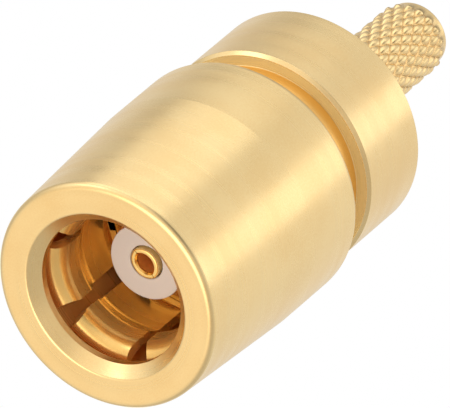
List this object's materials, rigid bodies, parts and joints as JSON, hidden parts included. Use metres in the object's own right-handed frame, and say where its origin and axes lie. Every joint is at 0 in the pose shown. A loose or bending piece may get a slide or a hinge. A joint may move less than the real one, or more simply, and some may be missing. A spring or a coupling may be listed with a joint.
{
  "type": "smb coaxial connector plug",
  "caption": "Straight gold-plated coaxial push-on plug with formed spring fingers, centre socket in a white insulator post and a knurled crimp stem.",
  "frame": {"origin": "centre of the flat ring round the mouth, the face it stands on", "axes": "+Z along the plug's axis, from the mouth to the cable end; +X through the middle of one slot of the spring contact"},
  "size_m": [0.0068, 0.0068, 0.0159],
  "materials": {
    "shell_gold": "satin gold plate on turned brass",
    "body_gold": "satin gold plate on turned and knurled brass",
    "spring_gold": "bright gold plate on spring copper alloy",
    "socket_gold": "bright gold plate on spring copper alloy",
    "insulator_white": "matte white fluoropolymer"
  },
  "bodies": {
    "root": {"guard_shell": "shell_gold", "crimp_body": "body_gold", "spring_contact": "spring_gold", "centre_contact": "socket_gold", "insulator": "insulator_white"}
  },
  "joints": []
}
